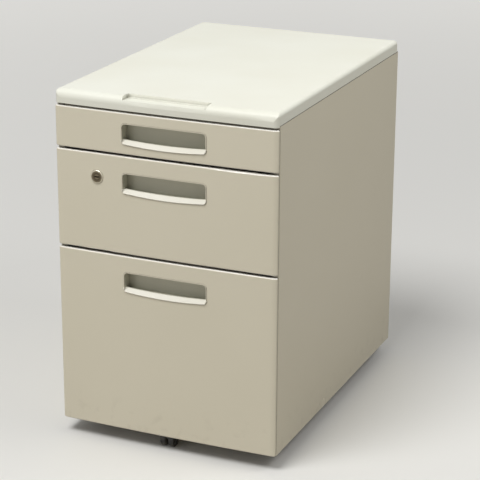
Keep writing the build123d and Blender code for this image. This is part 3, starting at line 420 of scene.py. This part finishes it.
def makeDrawerBox(name):
    low, high = drawerBox["heights"][name]
    side, front, rear = drawerBox["halfWidth"], drawerBox["front"], drawerBox["rear"]
    box = startBlock(name + "_drawer_box", (-side, front, low), (side, rear, high))
    pick(box, "FACE", lambda face: face.normal.z > along)
    bpy.ops.mesh.delete(type="ONLY_FACE")
    # upright corners and the folds round the floor
    pick(box, "EDGE", lambda edge: middleOf(edge).z < high - near)
    bpy.ops.mesh.bevel(offset=drawerBox["foldRadius"], segments=drawerBox["foldSteps"], affect="EDGES")
    # the hem: over the top and down the inside
    pick(box, "EDGE", lambda edge: edge.is_boundary)
    bpy.ops.mesh.extrude_edges_move()
    width, length, hem = 2 * side, rear - front, drawerBox["hem"]
    bpy.ops.transform.resize(value=((width - 2 * hem) / width, (length - 2 * hem) / length, 1),
                             center_override=(0, (front + rear) / 2, high))
    bpy.ops.mesh.extrude_edges_move(TRANSFORM_OT_translate={"value": (0, 0, -drawerBox["hemDepth"])})
    pick(box, "EDGE", lambda edge: not edge.is_boundary and all(v.co.z > high - near for v in edge.verts)
         and abs(edge.calc_face_angle(0.0)) > drawerBox["hemFold"])
    bpy.ops.mesh.bevel(offset=drawerBox["hemRadius"], segments=drawerBox["hemSteps"], affect="EDGES")
    bpy.ops.mesh.select_all(action="SELECT")
    bpy.ops.mesh.normals_make_consistent(inside=False)
    bpy.ops.object.mode_set(mode="OBJECT")
    wall = box.modifiers.new("wall", "SOLIDIFY")
    wall.thickness = drawerBox["sheet"]
    wall.offset = -1  # inwards
    bpy.ops.object.modifier_apply(modifier="wall")
    bpy.ops.object.shade_smooth_by_angle(angle=math.radians(smoothAngle))

    # the catch on the left wall
    catchFront, catchLow = boxCatch["front"], boxCatch["lows"][name]
    catch = startBlock(name + "_catch", (boxCatch["end"], catchFront, catchLow),
                       (-side, catchFront + boxCatch["sheet"], catchLow + boxCatch["height"]))
    pick(catch, "EDGE", lambda edge: middleOf(edge).x < boxCatch["end"] + near
         and abs(edge.verts[0].co.y - edge.verts[1].co.y) > near)
    bpy.ops.mesh.bevel(offset=boxCatch["corner"], segments=boxCatch["cornerSteps"], affect="EDGES")
    softenEdges()
    whole = joinPieces(name + "_drawer_box", [box, catch])
    hangPiece(whole, "drawer_" + name, "inner_paint", name + "_box")


for name in drawerNames:
    makeDrawerBox(name)
print("drawer boxes folded")


# Wheels: moulded nylon, a crowned tread, a dished side with ribs between rim and hub. "inner" is the gap from
# the middle line to a wheel, "ribHalf" half a rib's width in degrees, and "band" what keeps the pockets off
# the rim and the hub.
casterWheel = {"radius": 20 * mm, "inner": 3.9 * mm, "width": 11 * mm, "bore": 3.2 * mm,
               "treadRadius": 1.7 * mm, "rim": 3.4 * mm, "dish": 1.3 * mm, "hub": 5.6 * mm,
               "hubEdge": 0.5 * mm, "ribs": 6, "ribHalf": 9, "pocket": 1.8 * mm, "band": 0.4 * mm,
               "around": 72, "treadSteps": 4}
rollerWheel = dict(casterWheel, radius=13 * mm, inner=2.9 * mm, width=9.5 * mm, bore=2.6 * mm,
                   treadRadius=1.4 * mm, rim=2.2 * mm, dish=0.9 * mm, hub=4.4 * mm, hubEdge=0.4 * mm,
                   ribs=5, ribHalf=12, pocket=1.2 * mm)


def makeWheelPair(name, look, centre):
    # the wheel on the +X side, then its twin, turned about the upright line between them
    x, y, z = centre
    radius, hub, band = look["radius"], look["hub"], look["band"]
    outer = x + look["inner"] + look["width"]
    bpy.ops.object.select_all(action="DESELECT")
    bpy.ops.mesh.primitive_cylinder_add(vertices=look["around"], radius=radius, depth=look["width"],
                                        location=(outer - look["width"] / 2, y, z),
                                        rotation=(0, math.pi / 2, 0))
    wheel = startEdit(name)

    def fromAxis(point):
        return math.hypot(point.y - y, point.z - z)

    def inRib(point):
        step = 360 / look["ribs"]
        angle = math.degrees(math.atan2(point.z - z, point.y - y)) % step
        return min(angle, step - angle) < look["ribHalf"]

    def isPocket(face):
        # on the floor of the dish, between the two bands and between two ribs
        middle = face.calc_center_median()
        return (face.normal.x > along and abs(middle.x - (outer - look["dish"])) < near
                and hub + band < fromAxis(middle) < radius - look["rim"] - band and not inRib(middle))

    pick(wheel, "EDGE", lambda edge: abs(edge.verts[0].co.x - edge.verts[1].co.x) < near)
    bpy.ops.mesh.bevel(offset=look["treadRadius"], segments=look["treadSteps"], affect="EDGES")
    # outer side: rim, dish, ribs and hub
    pick(wheel, "FACE", lambda face: face.normal.x > along)
    bpy.ops.mesh.inset(thickness=look["rim"] - look["treadRadius"])
    extrudeAlongX(-look["dish"])
    bpy.ops.mesh.inset(thickness=band)
    bpy.ops.mesh.inset(thickness=radius - look["rim"] - hub - 2 * band)
    bpy.ops.mesh.inset(thickness=band)
    extrudeAlongX(look["dish"])
    bpy.ops.mesh.inset(thickness=look["hubEdge"])
    bpy.ops.mesh.inset(thickness=hub - look["hubEdge"] - look["bore"])
    bpy.ops.mesh.delete(type="ONLY_FACE")
    pick(wheel, "FACE", isPocket)
    extrudeAlongX(-look["pocket"])
    # inner side: flat, open to the bore
    pick(wheel, "FACE", lambda face: face.normal.x < -along)
    bpy.ops.mesh.inset(thickness=radius - look["treadRadius"] - look["bore"])
    bpy.ops.mesh.delete(type="ONLY_FACE")
    pick(wheel, "EDGE", lambda edge: edge.is_boundary)
    bpy.ops.mesh.bridge_edge_loops()
    softenEdges()
    halfTurn = (Matrix.Translation(centre) @ Matrix.Rotation(math.pi, 4, "Z")
                @ Matrix.Translation([-c for c in centre]))
    return joinPieces(name, [wheel, copyPiece(wheel, name + "_twin", halfTurn)])


wheelCentres = {place: centreOf("caster_wheels_" + place) for place in places}
firstPlace = places[0]
pairs = {firstPlace: makeWheelPair("twin_wheels_" + firstPlace, casterWheel, wheelCentres[firstPlace])}
for place in places[1:]:
    shift = Vector(wheelCentres[place]) - Vector(wheelCentres[firstPlace])
    pairs[place] = copyPiece(pairs[firstPlace], "twin_wheels_" + place, Matrix.Translation(shift))
for place, pair in pairs.items():
    hangPiece(pair, "wheels_" + place, "wheel_plastic", "caster_wheels_" + place)
hangPiece(makeWheelPair("roller_wheel_pair", rollerWheel, centreOf("roller_wheels")), "roller",
          "wheel_plastic", "roller_wheels")
print("wheels moulded:", len(pairs), "pairs and the roller")


# Rubber stops: low domes pressed on to the cabinet's front flanges
rubberStop = {"radius": 3.0 * mm, "front": -279.4 * mm, "rear": -277.5 * mm, "dome": 1.1 * mm,
              "domeSteps": 4, "around": 32, "smooth": 50, "x": 190.3 * mm,
              "heights": (183.75 * mm, 428.0 * mm, 550.0 * mm)}


def makeStops(look):
    x, firstHeight = look["x"], look["heights"][0]
    bpy.ops.object.select_all(action="DESELECT")
    bpy.ops.mesh.primitive_cylinder_add(vertices=look["around"], radius=look["radius"],
                                        depth=look["rear"] - look["front"], rotation=(math.pi / 2, 0, 0),
                                        location=(-x, (look["rear"] + look["front"]) / 2, firstHeight))
    first = startEdit("stop")
    pick(first, "FACE", lambda face: face.normal.y < -along)
    bpy.ops.mesh.bevel(offset=look["dome"], segments=look["domeSteps"], affect="EDGES")
    softenEdges(look["smooth"])
    shifts = [(right, 0, height - firstHeight) for right in (0, 2 * x) for height in look["heights"]]
    copies = [copyPiece(first, "stop", Matrix.Translation(shift)) for shift in shifts[1:]]
    hangPiece(joinPieces("rubber_stops", [first] + copies), "cabinet", "bumper_rubber", "front_bumpers")


makeStops(rubberStop)
print("rubber stops made")


# Stage: pale floor, pale surroundings, soft lamps, camera at the photograph's angle

studio = {"floorSize": 16, "floor": "#ABA69D", "floorSeen": "#EDECE8", "floorRoughness": 0.6,
          "farGlow": 0.5, "glowFrom": 0.8, "glowTo": 5.0,
          "surround": "#FFFFFF", "surroundStrength": 0.24, "backdrop": "#EDEDEB"}
lamps = {"key_lamp": {"place": (-2.0, -3.2, 1.1), "size": 1.6, "power": 11, "aim": (0, 0, 0.2)},
         "top_lamp": {"place": (-0.7, -2.2, 4.6), "size": 2.4, "power": 147, "aim": (0, -0.1, 0.4)},
         "side_lamp": {"place": (1.4, 0.1, 1.7), "size": 1.0, "power": 8.5, "aim": (0.2, 0, 0.4)}}
# turn, down and roll in degrees
view = {"place": (1.18838, -2.72103, 1.31516), "turn": 23.425, "down": 19.07, "roll": 0.284, "lens": 132.14}


def makeFloor():
    bpy.ops.object.select_all(action="DESELECT")
    bpy.ops.mesh.primitive_plane_add(size=studio["floorSize"])
    floor = bpy.context.object
    floor.name = "floor"
    material, tree, shader = newMaterial("pale_floor")
    # the camera sees a paler floor than the one that lights the object, and paler still further away
    seen = add(tree, "ShaderNodeLightPath").outputs["Is Camera Ray"]
    tone = add(tree, "ShaderNodeMix", [("Factor", seen)], data_type="RGBA",
               A=colour(studio["floor"]), B=colour(studio["floorSeen"]))
    tree.links.new(tone.outputs["Result"], shader.inputs["Base Color"])
    shader.inputs["Emission Color"].default_value = colour(studio["floorSeen"])
    place = add(tree, "ShaderNodeTexCoord").outputs["Object"]
    away = add(tree, "ShaderNodeVectorMath", [(0, place)], operation="LENGTH")
    far = add(tree, "ShaderNodeMapRange", [("Value", away.outputs["Value"])], From_Min=studio["glowFrom"],
              From_Max=studio["glowTo"], To_Min=0.0, To_Max=studio["farGlow"])
    glow = add(tree, "ShaderNodeMath", [(0, seen), (1, far.outputs["Result"])], operation="MULTIPLY")
    tree.links.new(glow.outputs[0], shader.inputs["Emission Strength"])
    shader.inputs["Roughness"].default_value = studio["floorRoughness"]
    floor.data.materials.append(material)


def makeSurround():
    # the camera and reflections see a pale backdrop, while the object gets a plain soft light
    world = bpy.data.worlds.new("surround")
    world.use_nodes = True
    tree = world.node_tree
    soft = tree.nodes["Background"]
    soft.inputs["Color"].default_value = colour(studio["surround"])
    soft.inputs["Strength"].default_value = studio["surroundStrength"]
    seen = add(tree, "ShaderNodeBackground", Color=colour(studio["backdrop"]), Strength=1.0)
    ray = add(tree, "ShaderNodeLightPath")
    direct = add(tree, "ShaderNodeMath", [(0, ray.outputs["Is Camera Ray"]),
                                          (1, ray.outputs["Is Glossy Ray"])], operation="MAXIMUM")
    clear = add(tree, "ShaderNodeMath", [(0, direct.outputs[0]), (1, ray.outputs["Is Transmission Ray"])],
                operation="MAXIMUM")
    mixed = add(tree, "ShaderNodeMixShader", [(0, clear.outputs[0]), (1, soft.outputs[0]),
                                              (2, seen.outputs[0])])
    tree.links.new(mixed.outputs[0], tree.nodes["World Output"].inputs["Surface"])
    bpy.context.scene.world = world


def addLamp(name, settings):
    data = bpy.data.lights.new(name, "AREA")
    data.shape = "DISK"
    data.size = settings["size"]
    data.energy = settings["power"]
    lamp = bpy.data.objects.new(name, data)
    lamp.location = settings["place"]
    lamp.rotation_euler = (Vector(settings["aim"]) - lamp.location).to_track_quat("-Z", "Y").to_euler()
    bpy.context.scene.collection.objects.link(lamp)


def placeCamera():
    data = bpy.data.cameras.new("camera")
    data.lens = view["lens"]
    camera = bpy.data.objects.new("camera", data)
    camera.location = view["place"]
    turned = Euler((math.radians(90 - view["down"]), 0, math.radians(view["turn"]))).to_matrix()
    camera.rotation_euler = (turned @ Matrix.Rotation(math.radians(view["roll"]), 3, "Z")).to_euler()
    bpy.context.scene.collection.objects.link(camera)
    bpy.context.scene.camera = camera


makeFloor()
makeSurround()
for name, settings in lamps.items():
    addLamp(name, settings)
placeCamera()
bpy.context.scene.view_settings.view_transform = "Standard"
print("stage, lamps and camera placed")
